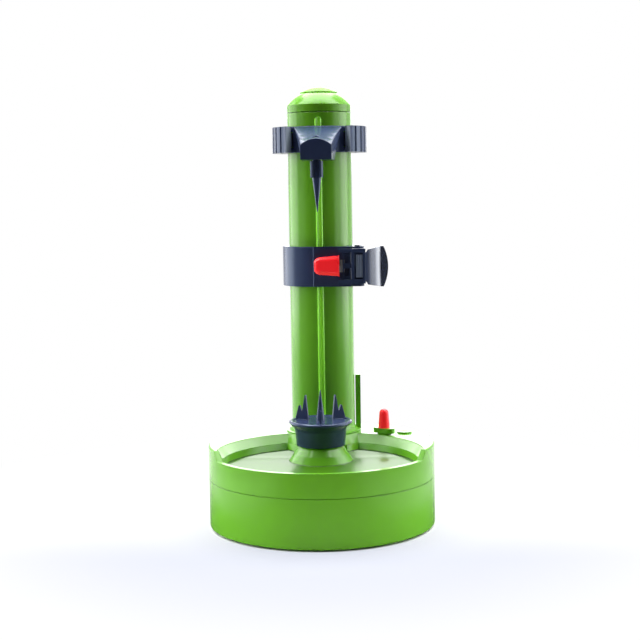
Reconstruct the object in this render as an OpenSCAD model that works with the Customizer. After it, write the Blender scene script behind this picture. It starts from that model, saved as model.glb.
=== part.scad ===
/* [Base] */
// Outer radius of the round base
base_r = 67; // [66:0.5:72]
// Thickness of the shells' walls and floors
wall = 2.2; // [1.8:0.1:2.4]
// Height of the shell above the table, on its feet
foot_lift = 1; // [0.6:0.1:1.6]
// Height of the cover's skirt below the front lip
skirt_h = 14; // [12:0.5:15]
// Height of the front lip above the tray floor
lip_h = 4; // [3:0.5:6]
// Height of the raised rear deck above the tray floor
deck_h = 9.5; // [8:0.5:12]
// Radius of the round tray recess
tray_r = 59; // [56:0.5:60]
// Depth of the raised rear deck, front to back
deck_d = 37; // [35:0.5:39]
// Thickness of the lip round the tray
rim_w = 3; // [2.6:0.1:4]
// Size of the sloped band between the tray's wall and floor
tray_slope = 2.5; // [1:0.5:4]
// Slant of the deck's two front ends, front to back
deck_slant = 5.5; // [3:0.5:8]
// Edge radius of the base's outer corners
edge_r = 1.2; // [0.6:0.1:1.8]
// Radius of each rubber foot
foot_r = 5; // [4:0.5:6]
// Thickness of each rubber foot
foot_t = 2; // [1.8:0.1:2.4]

/* [Column] */
// Distance from the column's axis to the rear of the base
column_rim = 27; // [26:0.5:28]
// Outer radius of the column
column_r = 19.5; // [19:0.25:20]
// Wall of the column
column_wall = 2.2; // [1.8:0.1:2.6]
// Height of the column above the rear deck
column_h = 195.5; // [185:0.5:205]
// Radius of the flared foot of the column
flare_r = 23; // [22:0.5:24]
// Thickness of the flared foot's edge
flare_t = 0.8; // [0.5:0.1:1.5]
// Width of the front rib
rib_w = 4; // [3:0.25:5]
// How far the front rib stands proud
rib_t = 1.2; // [0.8:0.1:1.5]
// Distance from the rib's top to the column's top
rib_drop = 3; // [2:0.5:5]
// Width of the slot in the back of the column
slot_w = 7; // [6.8:0.1:8]
// Height of the cap's straight side
cap_h = 4.4; // [4:0.2:6]
// Height of the cap's dome
dome_h = 7.2; // [6:0.2:8]
// Radius of the disc in the top of the cap
disc_r = 11.5; // [10:0.5:12.5]
// Height of the disc's crown above the dome
disc_h = 4; // [2.5:0.25:4.5]

/* [Turntable] */
// Distance between the turntable's axis and the column's axis
gear_reach = 48; // [47:0.5:49]
// Radius of the pedestal at the tray floor
pedestal_r = 18.9; // [18:0.1:20]
// Radius of the pedestal at its top
pedestal_top_r = 13; // [12:0.5:13.5]
// Height of the pedestal above the tray floor
pedestal_h = 9; // [8.5:0.5:11]
// Radius of the lower holder at its bottom
holder_r = 14.2; // [13.8:0.1:15]
// Radius of the lower holder's flange
holder_flange_r = 18.6; // [18:0.1:19.5]
// Height of the lower holder without its spikes
holder_h = 14.7; // [13.5:0.1:16]
// Height of the centre spike
spike_h = 17.6; // [14:0.2:19]
// Radius of the centre spike at its foot
spike_r = 2.6; // [2:0.1:3]
// Number of radial fins
fin_count = 3; // [3:1:4]
// Height of each fin's tall prong
fin_h = 14; // [12:0.5:15]
// Thickness of the fins
fin_t = 1.4; // [1:0.1:2]

/* [Arm] */
// Height of the carriage ring's bottom above the rear deck
arm_lift = 91.1; // [86:0.1:96]
// Height of the carriage ring
ring_h = 24; // [22:0.5:26]
// Wall of the carriage ring
ring_wall = 3.7; // [3.2:0.1:4.2]
// Gap between a ring and the column it slides on
ring_gap = 0.3; // [0.2:0.05:0.4]
// How far the carriage goes down from the pictured place
arm_down = 74; // [60:1:74]
// How far the carriage goes up from the pictured place
arm_up = 20; // [12:1:20]
// Place of the arm's hinge, left to right
hinge_x = 23; // [22.5:0.25:23.5]
// Distance of the arm's hinge in front of the column's axis
hinge_front = 19; // [18.5:0.25:19.5]
// Radius of the arm's hinge barrel
barrel_r = 3.4; // [3:0.1:3.6]
// Radius of the arm's hinge pin
hinge_pin_r = 1.5; // [1.2:0.1:1.8]
// Thickness of the arm's frame, front to back
arm_t = 5.6; // [5:0.1:5.8]
// Length of the blade's red cap
blade_cap_l = 15; // [14:0.5:16]
// Height of the blade's red cap at its open end
blade_cap_h = 12.8; // [11.5:0.1:13.2]
// Length of the blade in front of its head
blade_l = 12.5; // [10:0.5:13]
// Height of the blade
blade_h = 7.6; // [6:0.2:8]
// Outer end of the thumb tab, left to right
tab_x = 41; // [38:0.5:43]

/* [Top holder] */
// Distance from the column's top to the top holder's ring bottom
holder_drop = 24; // [22:0.5:30]
// Height of the top holder's ring
top_ring_h = 15.6; // [14:0.2:17]
// Wall of the top holder's ring
top_ring_wall = 2.2; // [2:0.1:2.3]
// How far the nose hangs below the ring
nose_drop = 5; // [4:0.5:7]
// Width of the nose where it leaves the ring
nose_back_w = 28.5; // [26:0.5:30]
// Width of the nose's front face
nose_w = 18; // [16:0.5:20]
// Height of the nose's front face
nose_h = 12; // [10:0.5:13]
// Outer radius of the two side grips
grip_r = 28.8; // [28:0.1:30]
// Thickness of the side grips
grip_t = 4.8; // [4.4:0.1:5]
// Radius of the ribbed hub of the top spindle
hub_r = 4.4; // [3.8:0.1:5]
// Height of the ribbed hub of the top spindle
hub_h = 10.3; // [8:0.1:12]
// Radius of the top spike at its thick end
top_spike_r = 2.6; // [2.2:0.1:3]
// Length of the top spike
top_spike_l = 19.4; // [15:0.2:22]

/* [Drive] */
// Teeth of the turntable's gear
turntable_teeth = 52; // [50:1:54]
// Teeth of the lead screw's gear
screw_teeth = 44; // [42:1:44]
// Teeth of the compound gear's small wheel
small_teeth = 12; // [11:1:13]
// Teeth of the compound gear's large wheel
large_teeth = 44; // [42:1:46]
// Teeth of the motor's pinion
pinion_teeth = 10; // [9:1:11]
// Tooth size of the motor's gear pair
motor_module = 0.8; // [0.78:0.01:0.82]
// Face width of the lower gears
gear_h = 6; // [5:0.5:7]
// Face width of the motor's gear pair
motor_gear_h = 4.6; // [4:0.2:5]
// Direction from the compound gear to the motor
motor_angle = 124; // [120:1:128]
// Radius of the motor's can
motor_r = 12; // [11:0.25:12.5]
// Lead of the screw for one turn
screw_lead = 4; // [3.5:0.25:5]
// Outer radius of the screw's thread
screw_r = 5; // [4.8:0.1:5.2]
// Core radius of the threaded stretch
screw_core_r = 3.6; // [3.4:0.1:3.8]
// Radius of the plain journals of the screw and the turntable shaft
journal_r = 3; // [2.6:0.1:3.2]
// Radius of the turntable shaft
shaft_r = 4; // [3.6:0.1:4.4]
// Distance from the column's axis to the release button's face
nut_reach = 26.8; // [26.4:0.1:27]
// How far the release button lifts the nut off the screw
nut_travel = 2.2; // [1.9:0.1:2.3]

/* [Power] */
// Radius of one battery cell
cell_r = 7.1; // [7:0.05:7.25]
// Length of one battery cell without its nub
cell_l = 49.5; // [48.5:0.5:50]
// Number of cells side by side
cell_count = 4; // [2:2:4]
// Radius of the power button
button_r = 4.4; // [4:0.1:4.8]
// Distance from the power button to the base's rim
button_rim = 10.2; // [9.6:0.2:11]
// Direction of the power button from the base's centre
button_angle = 28.4; // [27:0.2:30]
// Height of the stop rod above the deck
rod_h = 34; // [30:0.5:38]

/* [Knife] */
// Distance from the small knife to the base's rim
knife_rim = 23.2; // [22:0.2:23.6]
// Direction of the small knife from the base's centre
knife_angle = 31.1; // [30.5:0.2:32.5]
// Turn of the small knife's flange
knife_turn = -36; // [-46:2:-30]
// Length of the small knife's oblong flange
knife_flange_l = 14.4; // [13:0.1:15]
// Radius of the small knife's red cap at its foot
knife_cap_r = 3.5; // [3:0.1:3.6]
// Height of the small knife's red cap
knife_cap_h = 11.7; // [10:0.1:13]

/* [Hidden] */

$fn = 96;
over = 1;
run_gap = 0.05;
cap_gap = 0.4;
free_gap = 0.3;
seat_gap = 0.1;
green = [0.40, 0.70, 0.24];
slate = [0.22, 0.26, 0.33];
red = [0.90, 0.12, 0.13];
steel = [0.75, 0.76, 0.78];
brass = [0.80, 0.66, 0.35];
black = [0.08, 0.08, 0.09];
white = [0.92, 0.92, 0.88];

// Places that follow the base's rim and the column
inner_r = base_r - wall;
column_y = base_r - column_rim;
spin_y = column_y - gear_reach;
tray_y = base_r - deck_d - tray_r;
hinge_y = column_y - hinge_front;
button_x = (base_r - button_rim) * cos(button_angle);
button_y = (base_r - button_rim) * sin(button_angle);
knife_x = (base_r - knife_rim) * cos(knife_angle);
knife_y = (base_r - knife_rim) * sin(knife_angle);

// Heights in the base, stacked from the table up
shell_floor_z = foot_lift + wall;
door_t = 2;
bay_z = foot_lift + door_t + 0.2;
cell_pitch = 2 * cell_r + 0.6;
bay_w = cell_count * cell_pitch + 1.2;
bay_wall = 1.5;
bay_front_y = bay_wall + 0.5 - sqrt(pow(inner_r, 2) - pow(bay_w / 2 + bay_wall, 2));
contact_room = 3.5;
bay_back_y = bay_front_y + cell_l + contact_room;
bay_roof_z = bay_z + 2 * cell_r + 1.4;
plate_z = bay_roof_z + 1.8;
plate_t = 2;
gear_z = plate_z + plate_t + 1;
motor_gear_z = gear_z + gear_h + 1;
tray_z = motor_gear_z + motor_gear_h + 2.4 + wall;
lip_z = tray_z + lip_h;
deck_z = tray_z + deck_h;
parting_z = lip_z - skirt_h;
seam_gap = 0.35;
tongue_t = 1.5;
pedestal_z = tray_z + pedestal_h;
column_top = deck_z + column_h;

// Gear geometry
pressure = 25;
addendum = 0.85;
dedendum = 1.15;
backlash = 0.16;
gear_module = 2 * (column_y - spin_y) / (turntable_teeth + screw_teeth);
small_reach = gear_module * (turntable_teeth + small_teeth) / 2;
compound_x = -small_reach;
motor_reach = motor_module * (large_teeth + pinion_teeth) / 2;
motor_x = compound_x + motor_reach * cos(motor_angle);
motor_y = spin_y + motor_reach * sin(motor_angle);
turntable_phase = 90;
screw_phase = -90 + 180 / screw_teeth;
tooth_past = (180 - turntable_phase) % (360 / turntable_teeth);
small_phase = 180 / small_teeth + tooth_past * turntable_teeth / small_teeth;
pinion_phase = motor_angle + 180 + 180 / pinion_teeth;
axle_r = 2;

// Lower holder and column
holder_z = pedestal_z + free_gap;
holder_top = holder_z + holder_h;
column_in_r = column_r - column_wall;
cup_floor_z = deck_z - 6.4;
cup_t = 2.3;
column_z = cup_floor_z + cup_t;
column_plate_t = 2.5;
column_screw_r = 13;
bush_r = 6;
spindle_bush_r = 7;
slot_z = deck_z + arm_lift + ring_h / 2 - arm_down - 6;
slot_top = deck_z + arm_lift + ring_h / 2 + arm_up + 6;

// Arm carriage, nut and screw
arm_z = deck_z + arm_lift;
ring_in_r = column_r + ring_gap;
ring_r = ring_in_r + ring_wall;
housing_y = column_y - ring_r - 0.3;
nut_z = arm_z + ring_h / 2;
nut_h = 6;
thread_drop = floor((nut_z - slot_z) / screw_lead) * screw_lead;
thread_z = nut_z - screw_lead / 4 - thread_drop;
thread_turns = ceil((slot_top - thread_z) / screw_lead);
thread_steps = 12;
yoke_in_x = screw_r + 0.8;
yoke_x = yoke_in_x + 2.8;
nut_button_y = column_y + nut_reach;
nut_button_t = 2.4;
pocket_y = nut_button_y - nut_button_t - nut_travel - 0.5;
stem_w = slot_w - 1;
ear_t = 1.6;
arm_y = housing_y - 1.6 - arm_t;
arm_mid_y = arm_y + arm_t / 2;
blade_z = arm_z + ring_h / 2 + 0.7;
arm_low = arm_z + 2.2;
arm_top = arm_z + ring_h - 1;
barrel_low = arm_z + ear_t + 4.8;
barrel_top = arm_z + ring_h - ear_t - 0.5;
head_x = hinge_x - 9.2;
head_w = 4.8;
head_h = 15;
post_w = 1.9;

// Top holder
top_ring_z = column_top - holder_drop;
top_ring_r = ring_in_r + top_ring_wall;
nose_z = top_ring_z - nose_drop;
nose_y = spin_y - 8;
nose_back_y = column_y - ring_in_r - 1;
nose_arch = 3.6;
pad_from = -42;
pad_to = -22;
pad_inset = 3.6;
disc_edge = 1.4;
disc_seat = 0.8;
grip_in_r = grip_r - grip_t;
grip_pin_x = grip_in_r + 1.6;
grip_pin_r = 1.25;
grip_front = -48;
grip_back = 35;
spindle_r = 2;
clip_groove = 7.4;
clip_room = 3.4;

// Small parts of the base
screw_spots = [for (a = [42, 138, -25, 205]) (base_r - 10.3) * [cos(a), sin(a)]];
foot_spots = [for (a = [-41.6, 221.6, 59, 121]) (base_r - 10) * [cos(a), sin(a)]];
holder_turn = 2.4;
screw_bite = 6;
plate_front = 18;
plate_side = 36;
post_x = 30;
screw_shaft_r = 1.5;
screw_head_r = 3;
screw_boss_r = 4;
screw_seat_z = 17;
rod_x = column_r + 2.1;
rod_y = column_y + 6;
rod_w = 3.2;
rod_d = 6;
rod_base_z = deck_z - 7.5;
limit_h = rod_base_z - 3.2 - (gear_z + gear_h + 1.2);
inlet_z = 12;
inlet_r = 4;
button_proud = 0.9;
button_flange_z = deck_z - wall - free_gap;
switch_h = 6;
switch_z = button_flange_z - 4 - switch_h;
knife_neck_l = 8.5;
knife_neck_w = 5;
knife_neck_gap = 0.3;
knife_flange_z = deck_z + 1;
knife_flange_t = 3;
knife_deep = 16;

function involute(base, r) = let (a = acos(min(1, base / r))) tan(a) * 180 / PI - a;

// Half the angle that a tooth fills at radius r
function half_tooth(teeth, size, r) = let (
    pitch = teeth * size / 2,
    base = pitch * cos(pressure))
    90 / teeth - backlash / pitch * 90 / PI + involute(base, pitch) - involute(base, max(base, r));

module gear_blank(teeth, size, height, phase) {
    pitch = teeth * size / 2;
    root = pitch - dedendum * size;
    tip = pitch + addendum * size;
    low = max(root + 0.01, pitch * cos(pressure));
    radii = [root, low, (low + pitch) / 2, pitch, (pitch + tip) / 2, tip];
    left = [for (i = [0:5]) [radii[i], -half_tooth(teeth, size, radii[i])]];
    right = [for (i = [5:-1:0]) [radii[i], half_tooth(teeth, size, radii[i])]];
    outline = concat(left, right);
    points = [for (t = [0:teeth - 1]) for (p = outline)
        p[0] * [cos(phase + t * 360 / teeth + p[1]), sin(phase + t * 360 / teeth + p[1])]];
    linear_extrude(height) polygon(points);
}

module tube(outer, inner, height) {
    difference() {
        cylinder(h = height, r = outer);
        translate([0, 0, -over]) cylinder(h = height + 2 * over, r = inner);
    }
}

module block(low, high) {
    translate(low) cube(high - low);
}

// A ring-shaped slice between two angles, both under 180 degrees apart
module sector(outer, inner, height, from, to) {
    far = outer * 2;
    linear_extrude(height) difference() {
        intersection() {
            circle(outer);
            polygon([[0, 0], far * [cos(from), sin(from)],
                far * [cos((from + to) / 2), sin((from + to) / 2)], far * [cos(to), sin(to)]]);
        }
        circle(inner);
    }
}

// One swept strip: a cross-section given as radius and height pairs, turned round a helix
module helix_strip(profile, lead, turns, steps) {
    count = len(profile);
    rings = round(turns * steps);
    points = [for (i = [0:rings]) for (p = profile)
        [p[0] * cos(i * 360 / steps), p[0] * sin(i * 360 / steps), p[1] + lead * i / steps]];
    sides = [for (i = [0:rings - 1]) for (k = [0:count - 1]) let (
        a = i * count + k,
        b = i * count + (k + 1) % count) each [[a, b + count, b], [a, a + count, b + count]]];
    first = [for (k = [0:count - 1]) k];
    last = [for (k = [count - 1:-1:0]) rings * count + k];
    polyhedron(points, concat(sides, [first, last]), convexity = 10);
}

module spring(radius, wire, length, turns) {
    ring = [for (k = [0:5]) [radius + wire * cos(k * 60), wire + wire * sin(k * 60)]];
    helix_strip(ring, (length - 2 * wire) / turns, turns, 8);
}

module tray_stack(r, grow) {
    translate([0, 0, tray_z + tray_slope]) cylinder(h = deck_h, r = r);
    translate([0, 0, tray_z]) cylinder(h = tray_slope + 0.01, r1 = r + grow * tray_slope, r2 = r);
}

// The open space above the tray floor, inside the lip and in front of the deck
module tray_space() {
    difference() {
        intersection() {
            translate([0, tray_y, 0]) tray_stack(tray_r, -1);
            tray_stack(base_r - rim_w, -1);
        }
        translate([0, column_y, 0]) tray_stack(flare_r + 2, 1);
        translate([0, spin_y, 0]) pedestal();
    }
}

module pedestal() {
    translate([0, 0, tray_z - over]) cylinder(h = over + 0.01, r = pedestal_r);
    translate([0, 0, tray_z]) cylinder(h = pedestal_h, r1 = pedestal_r, r2 = pedestal_top_r);
}

module screw_places() {
    for (spot = screw_spots) translate([spot[0], spot[1], 0]) children();
}

module cover_body() {
    inset = base_r - edge_r;
    rotate_extrude() {
        translate([0, parting_z]) square([base_r, deck_z - edge_r - parting_z]);
        translate([0, parting_z]) square([inset, deck_z - parting_z]);
        translate([inset, deck_z - edge_r]) intersection() {
            circle(edge_r);
            square(edge_r);
        }
    }
}

// The hollow under the cover: below the deck it is high, below the tray it is low
module cover_hollow() {
    difference() {
        translate([0, 0, parting_z - over])
            cylinder(h = deck_z - wall - parting_z + over, r = inner_r);
        difference() {
            intersection() {
                translate([0, tray_y, tray_z - wall]) cylinder(h = deck_h + wall, r = tray_r + wall);
                translate([0, 0, tray_z - wall]) cylinder(h = deck_h + wall, r = base_r);
            }
            translate([0, column_y, tray_z - wall - over])
                cylinder(h = deck_h + 2 * over, r = flare_r + 2 - wall);
            translate([0, spin_y, tray_z - wall - 0.01])
                cylinder(h = pedestal_h, r1 = pedestal_r - 2, r2 = pedestal_top_r - 2);
        }
    }
}

// Everything above the lip, forward of the deck's slanted ends
module front_notch() {
    end_y = tray_y - 3;
    rotate([90, 0, 90]) translate([0, 0, -base_r - over]) linear_extrude(2 * base_r + 2 * over)
        polygon([[end_y, lip_z], [end_y + deck_slant, deck_z], [end_y + deck_slant, deck_z + over],
            [-base_r - over, deck_z + over], [-base_r - over, lip_z]]);
}

module knife_place() {
    translate([knife_x, knife_y, 0]) rotate(knife_turn) children();
}

module knife_neck(grow) {
    length = knife_neck_l + 2 * grow;
    width = knife_neck_w + 2 * grow;
    side = (length - width) / 2;
    for (s = [-1, 1]) translate([s * side, 0]) circle(width / 2);
    square([2 * side, width], center = true);
}

module top_cover() {
    color(green) difference() {
        union() {
            difference() {
                cover_body();
                cover_hollow();
                tray_space();
                difference() {
                    front_notch();
                    translate([0, spin_y, 0]) pedestal();
                }
            }
            translate([0, 0, parting_z - 4]) tube(inner_r - run_gap, inner_r - tongue_t, 4 + over);
            translate([0, 0, parting_z]) tube(inner_r + 0.3, inner_r - tongue_t, over);
            translate([0, spin_y, tray_z - wall]) cylinder(h = pedestal_h + wall, r = spindle_bush_r + 2.2);
            translate([0, column_y, cup_floor_z]) cylinder(h = deck_z - wall - cup_floor_z + 0.5,
                r = column_r + run_gap + wall);
            screw_places() translate([0, 0, parting_z + 0.1])
                cylinder(h = tray_z - wall - parting_z + 0.5, r = screw_boss_r);
            for (s = [-1, 1]) translate([s * screw_spots[0][0], screw_spots[0][1], tray_z - wall])
                cylinder(h = deck_h, r = screw_boss_r);
            translate([compound_x, spin_y, motor_gear_z + motor_gear_h + 0.4])
                cylinder(h = tray_z - wall - motor_gear_z - motor_gear_h, r = axle_r + 2);
            knife_place() translate([0, 0, deck_z - knife_deep - 1.5])
                linear_extrude(knife_deep + 0.5) knife_neck(knife_neck_gap + 1.6);
            translate([button_x, button_y, switch_z])
                cylinder(h = deck_z - wall - switch_z + 0.5, r = button_r + 3.2);
        }
        translate([0, spin_y, tray_z - wall - over])
            cylinder(h = pedestal_h + wall + 2 * over, r = spindle_bush_r);
        translate([0, column_y, cup_floor_z - over]) {
            translate([0, 0, cup_t + over]) cylinder(h = 3 * deck_h, r = column_r + run_gap);
            cylinder(h = cup_t + 2 * over, r = bush_r);
            for (a = [30:120:270]) rotate(a) translate([column_screw_r, 0, 0])
                cylinder(h = cup_t + 2 * over, r = screw_shaft_r);
        }
        screw_places() translate([0, 0, parting_z]) cylinder(h = 7, r = screw_shaft_r);
        translate([compound_x, spin_y, motor_gear_z + motor_gear_h]) cylinder(h = 2.4, r = axle_r);
        knife_place() translate([0, 0, deck_z - knife_deep])
            linear_extrude(knife_deep + over) knife_neck(knife_neck_gap);
        translate([button_x, button_y, switch_z - over]) {
            cylinder(h = deck_z, r = button_r + run_gap);
            cylinder(h = button_flange_z + free_gap - switch_z + over, r = button_r + 1.6);
        }
        block([rod_x - rod_w / 2 - run_gap, rod_y - rod_d / 2 - run_gap, cup_floor_z - over],
            [rod_x + rod_w / 2 + run_gap, rod_y + rod_d / 2 + run_gap, deck_z + over]);
    }
}

module bay_outline(z0, z1, grow) {
    block([-bay_w / 2 - grow, bay_front_y - grow, z0], [bay_w / 2 + grow, bay_back_y + grow, z1]);
}

module lower_shell() {
    inset = base_r - edge_r;
    color(green) difference() {
        union() {
            difference() {
                rotate_extrude() {
                    translate([0, foot_lift + edge_r]) square([base_r, parting_z - foot_lift - edge_r]);
                    translate([0, foot_lift]) square([inset, parting_z - foot_lift]);
                    translate([inset, foot_lift + edge_r]) intersection() {
                        circle(edge_r);
                        translate([0, -edge_r]) square(edge_r);
                    }
                }
                translate([0, 0, shell_floor_z]) cylinder(h = parting_z, r = inner_r);
            }
            bay_outline(foot_lift, plate_z, bay_wall);
            screw_places() translate([0, 0, foot_lift]) cylinder(h = parting_z - foot_lift, r = screw_boss_r);
            for (spot = foot_spots) translate([spot[0], spot[1], foot_lift])
                cylinder(h = foot_t + 1, r = foot_r + 1.2);
            translate([motor_x, motor_y, foot_lift]) cylinder(h = 9, r = motor_r + 2);
            for (s = [-1, 1]) translate([s * post_x, column_y - 10, foot_lift])
                cylinder(h = plate_z - foot_lift, r = 3);
            block([-6.2, base_r - 17, foot_lift], [6.2, base_r - 1.2, inlet_z - 5.5]);
        }
        bay_outline(bay_z, bay_roof_z, 0);
        block([-bay_w / 2 - 0.9, bay_front_y - 0.9, foot_lift - over],
            [bay_w / 2 + 0.9, bay_back_y + 0.9, bay_z]);
        screw_places() {
            translate([0, 0, foot_lift - over]) cylinder(h = screw_seat_z + over, r = screw_head_r + 0.2);
            cylinder(h = parting_z + over, r = screw_shaft_r + 0.15);
        }
        for (spot = foot_spots) translate([spot[0], spot[1], foot_lift - over])
            cylinder(h = foot_t - foot_lift + over, r = foot_r);
        translate([motor_x, motor_y, shell_floor_z]) cylinder(h = parting_z, r = motor_r);
        translate([0, base_r + over, inlet_z]) rotate([90, 0, 0]) cylinder(h = 6, r = inlet_r + 0.1);
        translate([0, 0, parting_z - seam_gap]) tube(base_r + over, base_r - seam_gap, seam_gap + over);
        for (side = [-1, 1]) translate([side * (bay_w / 2 + 0.9), bay_back_y - 1.2, foot_lift + 1.1])
            rotate([0, side * 90, 0]) cylinder(h = 1.2, r = 0.75);
    }
}

module battery_door() {
    edge = bay_w / 2 + 0.6;
    hinge = [bay_back_y - 1.2, foot_lift + 1.1];
    color(green) difference() {
        union() {
            block([-edge, bay_front_y - 0.6, foot_lift], [edge, hinge[0], foot_lift + door_t]);
            translate([-edge, hinge[0], hinge[1]]) rotate([0, 90, 0]) cylinder(h = 2 * edge, r = 1);
            translate([-edge - 1, hinge[0], hinge[1]]) rotate([0, 90, 0])
                cylinder(h = 2 * edge + 2, r = 0.7);
        }
        translate([0, bay_front_y + 8, foot_lift - 8.5]) rotate([0, 90, 0])
            cylinder(h = 24, r = 9.3, center = true);
    }
}

module cell_places() {
    for (i = [0:cell_count - 1]) translate([(i - (cell_count - 1) / 2) * cell_pitch, 0, bay_z + cell_r + 0.4])
        rotate(i % 2 == 0 ? 0 : 180) children();
}

module battery_cells() {
    mid = (bay_front_y + bay_back_y) / 2;
    color([0.15, 0.3, 0.6]) translate([0, mid, 0]) cell_places() rotate([-90, 0, 0]) {
        translate([0, 0, -cell_l / 2]) cylinder(h = cell_l, r = cell_r);
        translate([0, 0, cell_l / 2 - 0.01]) cylinder(h = 1, r = 2.7);
    }
}

module battery_contacts() {
    mid = (bay_front_y + bay_back_y) / 2;
    reach = (bay_back_y - bay_front_y) / 2;
    color(steel) translate([0, mid, 0]) cell_places() {
        block([-4.5, reach - 0.6, -4.5], [4.5, reach, 4.5]);
        block([-4.5, -reach, -4.5], [4.5, -reach + 0.5, 4.5]);
    }
}

module cell_springs() {
    mid = (bay_front_y + bay_back_y) / 2;
    reach = (bay_back_y - bay_front_y) / 2;
    color(steel) translate([0, mid, 0]) cell_places() translate([0, -reach + 0.55, 0])
        rotate([-90, 0, 0]) spring(2.6, 0.2, reach - cell_l / 2 - 0.6, 1);
}

module rubber_feet() {
    color(black) for (spot = foot_spots) translate([spot[0], spot[1], 0]) cylinder(h = foot_t, r = foot_r);
}

module pan_screw(shaft_l, head_r, head_t) {
    cylinder(h = shaft_l, r = screw_shaft_r);
    difference() {
        translate([0, 0, -head_t]) cylinder(h = head_t, r = head_r);
        for (a = [0, 90]) rotate(a) block([-1.8, -0.4, -head_t - over], [1.8, 0.4, -head_t + 0.9]);
    }
}

module base_screws() {
    color(steel) screw_places() translate([0, 0, screw_seat_z])
        pan_screw(parting_z + screw_bite - screw_seat_z,
            screw_head_r, 2);
}

module gear_plate() {
    color(white) difference() {
        intersection() {
            translate([0, 0, plate_z]) cylinder(h = plate_t, r = inner_r - 0.6);
            block([-base_r, bay_front_y + plate_front, 0], [plate_side, base_r, base_r]);
        }
        for (y = [spin_y, column_y]) translate([0, y, 0]) cylinder(h = base_r, r = bush_r - 0.5);
        translate([motor_x, motor_y, 0]) cylinder(h = base_r, r = motor_r + 0.15);
        translate([compound_x, spin_y, 0]) cylinder(h = base_r, r = axle_r);
        screw_places() cylinder(h = base_r, r = screw_boss_r + 0.5);
    }
}

module flanged_bush(inner, outer, flange, height) {
    difference() {
        union() {
            cylinder(h = height, r = outer);
            cylinder(h = 0.8, r = flange);
        }
        translate([0, 0, -over]) cylinder(h = height + 2 * over, r = inner);
    }
}

module journal_bushes() {
    color(brass) for (y = [spin_y, column_y]) translate([0, y, plate_z + plate_t + 0.8]) mirror([0, 0, 1])
        flanged_bush(journal_r + run_gap, bush_r - 0.5, bush_r + 1, plate_t + 0.8);
}

module spindle_bush() {
    color(brass) translate([0, spin_y, tray_z + 1]) tube(spindle_bush_r, shaft_r + run_gap, pedestal_h - 1);
}

module column_bush() {
    color(brass) translate([0, column_y, cup_floor_z - 0.8])
        flanged_bush(journal_r + run_gap, bush_r, bush_r + 1.5, cup_t + column_plate_t + 0.8);
}

module motor() {
    top = motor_gear_z - 0.6;
    color(steel) translate([motor_x, motor_y, 0]) difference() {
        union() {
            translate([0, 0, shell_floor_z]) cylinder(h = top - 1 - shell_floor_z, r = motor_r);
            cylinder(h = top, r = 4.5);
        }
        cylinder(h = base_r, r = 1 + run_gap);
        translate([0, 0, -over]) cylinder(h = shell_floor_z + over, r = motor_r);
        translate([0, 0, shell_floor_z + 6]) cylinder(h = 12, r = motor_r - 2);
    }
}

module motor_pinion() {
    color(steel) translate([motor_x, motor_y, 0]) {
        gear_top = motor_gear_z + motor_gear_h;
        translate([0, 0, motor_gear_z]) gear_blank(pinion_teeth, motor_module, motor_gear_h, pinion_phase);
        translate([0, 0, shell_floor_z + 2]) cylinder(h = gear_top + 0.6 - shell_floor_z - 2, r = 1);
        translate([0, 0, shell_floor_z + 8]) cylinder(h = 8, r = motor_r - 3);
    }
}

module compound_gear() {
    color(white) translate([compound_x, spin_y, 0]) difference() {
        union() {
            translate([0, 0, gear_z]) gear_blank(small_teeth, gear_module, gear_h + 1.01, small_phase);
            translate([0, 0, motor_gear_z])
                gear_blank(large_teeth, motor_module, motor_gear_h, motor_angle);
        }
        cylinder(h = base_r, r = axle_r + run_gap);
    }
}

module gear_axle() {
    color(steel) translate([compound_x, spin_y, plate_z])
        cylinder(h = motor_gear_z + motor_gear_h + 2.4 - plate_z, r = axle_r);
}

module lightened(teeth, hub, bore) {
    pitch = teeth * gear_module / 2;
    spoke_r = (pitch + hub) / 2;
    translate([0, 0, -over]) cylinder(h = 3 * gear_h, r = bore);
    for (a = [30:60:330]) rotate(a) translate([spoke_r, 0, -over])
        cylinder(h = 3 * gear_h, r = (pitch - hub) / 2 - 3.2);
}

module turntable_gear() {
    color(white) translate([0, spin_y, gear_z]) difference() {
        union() {
            gear_blank(turntable_teeth, gear_module, gear_h, turntable_phase);
            cylinder(h = gear_h + 2.5, r = 8);
        }
        lightened(turntable_teeth, 8, shaft_r);
    }
}

module turntable_shaft() {
    color(steel) translate([0, spin_y, 0]) {
        translate([0, 0, plate_z + 0.2]) cylinder(h = 4, r = journal_r);
        translate([0, 0, gear_z]) cylinder(h = pedestal_z + free_gap - gear_z, r = shaft_r);
        difference() {
            translate([0, 0, gear_z]) cylinder(h = holder_z + 8 - gear_z, r = shaft_r);
            block([-shaft_r, shaft_r - 1.2, pedestal_z + free_gap], [shaft_r, shaft_r + 1, holder_top]);
        }
    }
}

module screw_gear() {
    color(white) translate([0, column_y, gear_z]) difference() {
        union() {
            gear_blank(screw_teeth, gear_module, gear_h, screw_phase);
            cylinder(h = gear_h + 2.5, r = 7);
        }
        lightened(screw_teeth, 7, journal_r);
    }
}

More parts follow.
